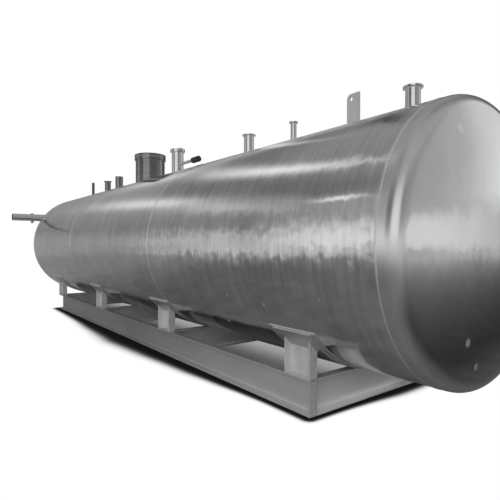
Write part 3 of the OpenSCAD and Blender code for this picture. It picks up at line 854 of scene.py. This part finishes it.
end_outline = end_curve(0.0) + end_curve(HEAD_WALL)[::-1]
for node, seam, way in (("front_head", SEAMS[0], 1), ("rear_head", SEAMS[3], -1)):
    mesh = revolved(f"{node}_spun", end_outline, ROUND_STEPS, head_finish)
    mesh.transform(Matrix.Translation((seam, 0, AXIS_Z)) @ Matrix.Rotation(way * math.pi / 2, 4, "Y"))
    spun = bpy.data.objects.new(f"{node}_spun", mesh)
    scene.collection.objects.link(spun)
    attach(spun, "root")
    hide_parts(node)
    print(spun.name, "reaches x", round(max(v.co.x * way for v in mesh.vertices) * way, 4))

# %% [markdown]
# ## Welds round the fittings
# Where a pipe goes into the tank, the weld follows the curve in which the two rounds meet.
# That curve is worked out from the two radii, so the bead lies in the corner all the way round.

# %% Pipe welds
PIPE_WELD, BRANCH_WELD = 0.006, 0.004
FEWEST_RINGS, OUTLET_RINGS, BRANCH_RINGS = 48, 90, 40
VENT_R, OUTLET_R, BRANCH_R = 0.08415, 0.06985, 0.0212
CROWN_PIPES = {"front_nozzle": 0.05715, "small_nozzle": 0.03015, "middle_nozzle": 0.05715,
               "vent_neck": VENT_R, "manway_neck": 0.230,
               "rear_inner_nozzle": 0.06985, "rear_outer_nozzle": 0.05715}


def middle_of(node):
    low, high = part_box(node)
    return (low + high) / 2


def turns(steps):
    return [2 * math.pi * i / steps for i in range(steps)]


def crown_ring(x, radius):
    spots = []
    for turn in turns(max(FEWEST_RINGS, int(2 * math.pi * radius / WELD_STEP))):
        side, ahead = radius * math.sin(turn), radius * math.cos(turn)
        place = Vector((x + ahead, side, AXIS_Z + math.sqrt(TANK_R ** 2 - side ** 2)))
        spots.append((place, Vector((math.cos(turn), math.sin(turn), 1.0)).normalized()))
    return spots


pipe_beads = []
for node, radius in CROWN_PIPES.items():
    ring = crown_ring(middle_of(node).x, radius)
    pipe_beads.append(bead("pipe_weld", ring, PIPE_WELD, PIPE_WELD, closed=True))

outlet_middle = middle_of("outlet_pipe")
outlet_ring = []
for turn in turns(OUTLET_RINGS):
    height = outlet_middle.z + OUTLET_R * math.sin(turn)
    depth = -math.sqrt(TANK_R ** 2 - (height - AXIS_Z) ** 2)
    out = Vector((math.cos(turn), -0.8, math.sin(turn) + 0.5)).normalized()
    outlet_ring.append((Vector((outlet_middle.x + OUTLET_R * math.cos(turn), depth, height)), out))
pipe_beads.append(bead("outlet_weld", outlet_ring, PIPE_WELD, PIPE_WELD, closed=True))

branch_z, vent_x = middle_of("vent_branch").z, middle_of("vent_neck").x
branch_ring = []
for turn in turns(BRANCH_RINGS):
    side = BRANCH_R * math.sin(turn)
    ahead = vent_x + math.sqrt(VENT_R ** 2 - side ** 2)
    out = Vector((1.0, math.sin(turn), math.cos(turn))).normalized()
    branch_ring.append((Vector((ahead, side, branch_z + BRANCH_R * math.cos(turn))), out))
pipe_beads.append(bead("branch_weld", branch_ring, BRANCH_WELD, BRANCH_WELD, closed=True))
pipe_welds = joined("pipe_welds", pipe_beads)
print("pipe welds:", len(pipe_welds.data.polygons), "faces")

# %% [markdown]
# ## Welds on the posts
# The posts stand on the rails and carry the saddle plates. Each weld runs round the outline of the channel:
# a walk along its corners, with the outward line half way between the piece's side
# and the face that it stands on. At the top that face is the round plate, so the walk is lifted onto it.

# %% Post welds
CHANNEL_B, CHANNEL_WEB, CHANNEL_FLANGE = 0.080, 0.008, 0.012
FRAME_WELD = 0.005


def fillet(corners, face_out, closed, turned=False):
    spots = walk([Vector(c) for c in corners], WELD_STEP, closed)
    path = []
    for i, place in enumerate(spots):
        ahead = spots[(i + 1) % len(spots)] if closed or i + 1 < len(spots) else place
        behind = spots[i - 1] if closed or i else place
        out = face_out(place)
        side = (ahead - behind).cross(out).normalized()
        path.append((place, (out - side if turned else out + side).normalized()))
    return path


def channel_loop(half, back, tip):
    way = 1 if tip > back else -1
    web, flange = back + way * CHANNEL_WEB, half - CHANNEL_FLANGE
    outside = [(-half, tip), (-half, back), (half, back), (half, tip)]
    return outside + [(flange, tip), (flange, web), (-flange, web), (-flange, tip)]


def straight_up(place):
    return Vector((0, 0, 1))


def off_axis(place):
    return Vector((0, place.y, place.z - AXIS_Z)).normalized()


POST_CUT_R = AXIS_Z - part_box("saddle_plate_1")[0].z
RAIL_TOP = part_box("left_rail")[1].z
frame_beads = []
for place in SADDLES:
    low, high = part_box(f"posts_{place}")
    centre, half = (low.x + high.x) / 2, (high.x - low.x) / 2
    for hand in (1, -1):
        loop = channel_loop(half, hand * (high.y - CHANNEL_B), hand * high.y)
        foot = fillet([(centre + a, b, RAIL_TOP) for a, b in loop], straight_up, True, hand < 0)
        frame_beads.append(bead("post_foot", foot, FRAME_WELD, FRAME_WELD, closed=True))
        level = walk([Vector((centre + a, b, 0)) for a, b in loop], WELD_STEP, True)
        lifted = [Vector((v.x, v.y, AXIS_Z - math.sqrt(POST_CUT_R ** 2 - v.y ** 2))) for v in level]
        top = fillet(lifted, off_axis, True, hand > 0)
        frame_beads.append(bead("post_top", top, FRAME_WELD, FRAME_WELD, closed=True))
print("post welds:", len(frame_beads))

# %% [markdown]
# ## Welds on the beams, the cap and the lugs
# The beams butt against the rails, a plate closes the left rail's front end, and the lugs stand
# on the crown. A beam's bead stops a little above the floor, so that the skid still stands flat.

# %% Beam, cap and lug welds
BEAD_FOOT = 0.006
CAP_HEIGHT, LUG_WELD = 0.002, 0.006
RAIL_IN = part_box("right_rail")[0].y


def towards_middle(place):
    return Vector((0, -1 if place.y > 0 else 1, 0))


for node in ("front_end_beam", "second_beam", "third_beam", "rear_end_beam"):
    low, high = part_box(node)
    back, tip = (high.x, low.x) if node == "rear_end_beam" else (low.x, high.x)
    way = 1 if tip > back else -1
    web, flange = back + way * CHANNEL_WEB, high.z - CHANNEL_FLANGE
    edge = [(tip, CHANNEL_FLANGE), (web, CHANNEL_FLANGE), (web, flange), (tip, flange),
            (tip, high.z), (back, high.z), (back, BEAD_FOOT)]
    for hand in (1, -1):
        line = fillet([(a, hand * RAIL_IN, b) for a, b in edge], towards_middle, False, hand * way < 0)
        frame_beads.append(bead("beam_end", line, FRAME_WELD, FRAME_WELD))

low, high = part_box("left_rail_cap")
cap_corners = ((low.y, high.z), (high.y, high.z), (high.y, low.z), (low.y, low.z))
cap_line = [Vector((high.x, y, z)) for y, z in cap_corners]
cap_path = [(place, AHEAD) for place in walk(cap_line, WELD_STEP)]
frame_beads.append(bead("cap_edge", cap_path, FRAME_WELD, CAP_HEIGHT))

for node in ("front_lug", "rear_lug"):
    low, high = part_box(node)
    corners = ((low.x, low.y), (high.x, low.y), (high.x, high.y), (low.x, high.y))
    foot = fillet([(x, y, low.z) for x, y in corners], straight_up, True)
    frame_beads.append(bead("lug_foot", foot, LUG_WELD, LUG_WELD, closed=True))
frame_welds = joined("frame_welds", frame_beads)
print("frame welds:", len(frame_welds.data.polygons), "faces")

# %% [markdown]
# ## Clamp bolts
# Each clamp ring is drawn together by a bolt through its ears, with a wing nut that is turned by hand.
# The bolt and the nut are spun from outlines, and the two wings are bent plates
# that taper towards their tips.

# %% Bolts and wing nuts
WING = [(0.004, -0.007), (0.012, -0.009), (0.026, -0.007), (0.038, 0.001),
        (0.040, 0.008), (0.034, 0.011), (0.020, 0.006), (0.004, 0.007)]
WING_LOW, WING_HIGH, WING_BEND, WING_TAPER = 0.010, 0.0155, 0.25, 0.03
WING_ROUND, WING_SHARP = 0.0012, 40
SHANK = [(0.0, -0.030), (0.006, -0.030), (0.0075, -0.0285), (0.0075, -0.019),
         (0.004, -0.0185), (0.004, 0.026), (0.0032, 0.028), (0.0, 0.028)]
HUB = [(0.0045, 0.0115), (0.011, 0.0115), (0.0115, 0.0125),
       (0.009, 0.021), (0.0082, 0.022), (0.0045, 0.022)]
BOLT_STEPS, EAR_DEPTH = 24, 0.014


def wing(side):
    work = bmesh.new()
    near = [work.verts.new((side * x, y, WING_LOW + WING_BEND * x)) for x, y in WING]
    far = [work.verts.new((side * x, y, WING_HIGH + WING_BEND * x - WING_TAPER * x)) for x, y in WING]
    work.faces.new(near)
    work.faces.new(far[::-1])
    for k in range(len(WING)):
        n = (k + 1) % len(WING)
        work.faces.new((near[k], far[k], far[n], near[n]))
    bmesh.ops.bevel(work, geom=list(work.edges), offset=WING_ROUND, segments=2, affect="EDGES")
    bmesh.ops.recalc_face_normals(work, faces=work.faces)
    mesh = bpy.data.meshes.new("wing")
    work.to_mesh(mesh)
    work.free()
    mesh.materials.append(turned_finish)
    smoothed(mesh, WING_SHARP)
    return mesh


def clamp_bolt(name, place, along, lean):
    meshes = [revolved("shank", SHANK, BOLT_STEPS, turned_finish)]
    meshes += [revolved("hub", HUB, BOLT_STEPS, turned_finish), wing(1), wing(-1)]
    aim = Vector(along).to_track_quat("Z", "Y").to_matrix().to_4x4()
    for mesh in meshes:
        mesh.transform(Matrix.Translation(place) @ aim @ Matrix.Rotation(math.radians(lean), 4, "Z"))
    return joined(name, meshes)


low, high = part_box("vent_clamp")
vent_ears = Vector((high.x - EAR_DEPTH, 0.0, (low.z + high.z) / 2))
vent_bolt = clamp_bolt("vent_bolt", vent_ears, (0, -1, 0), 64)
low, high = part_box("outlet_clamp")
outlet_ears = Vector(((low.x + high.x) / 2, (low.y + high.y) / 2, low.z + EAR_DEPTH))
outlet_bolt = clamp_bolt("outlet_bolt", outlet_ears, (1, 0, 0), 20)
print("clamp bolts:", len(vent_bolt.data.polygons) + len(outlet_bolt.data.polygons), "faces")
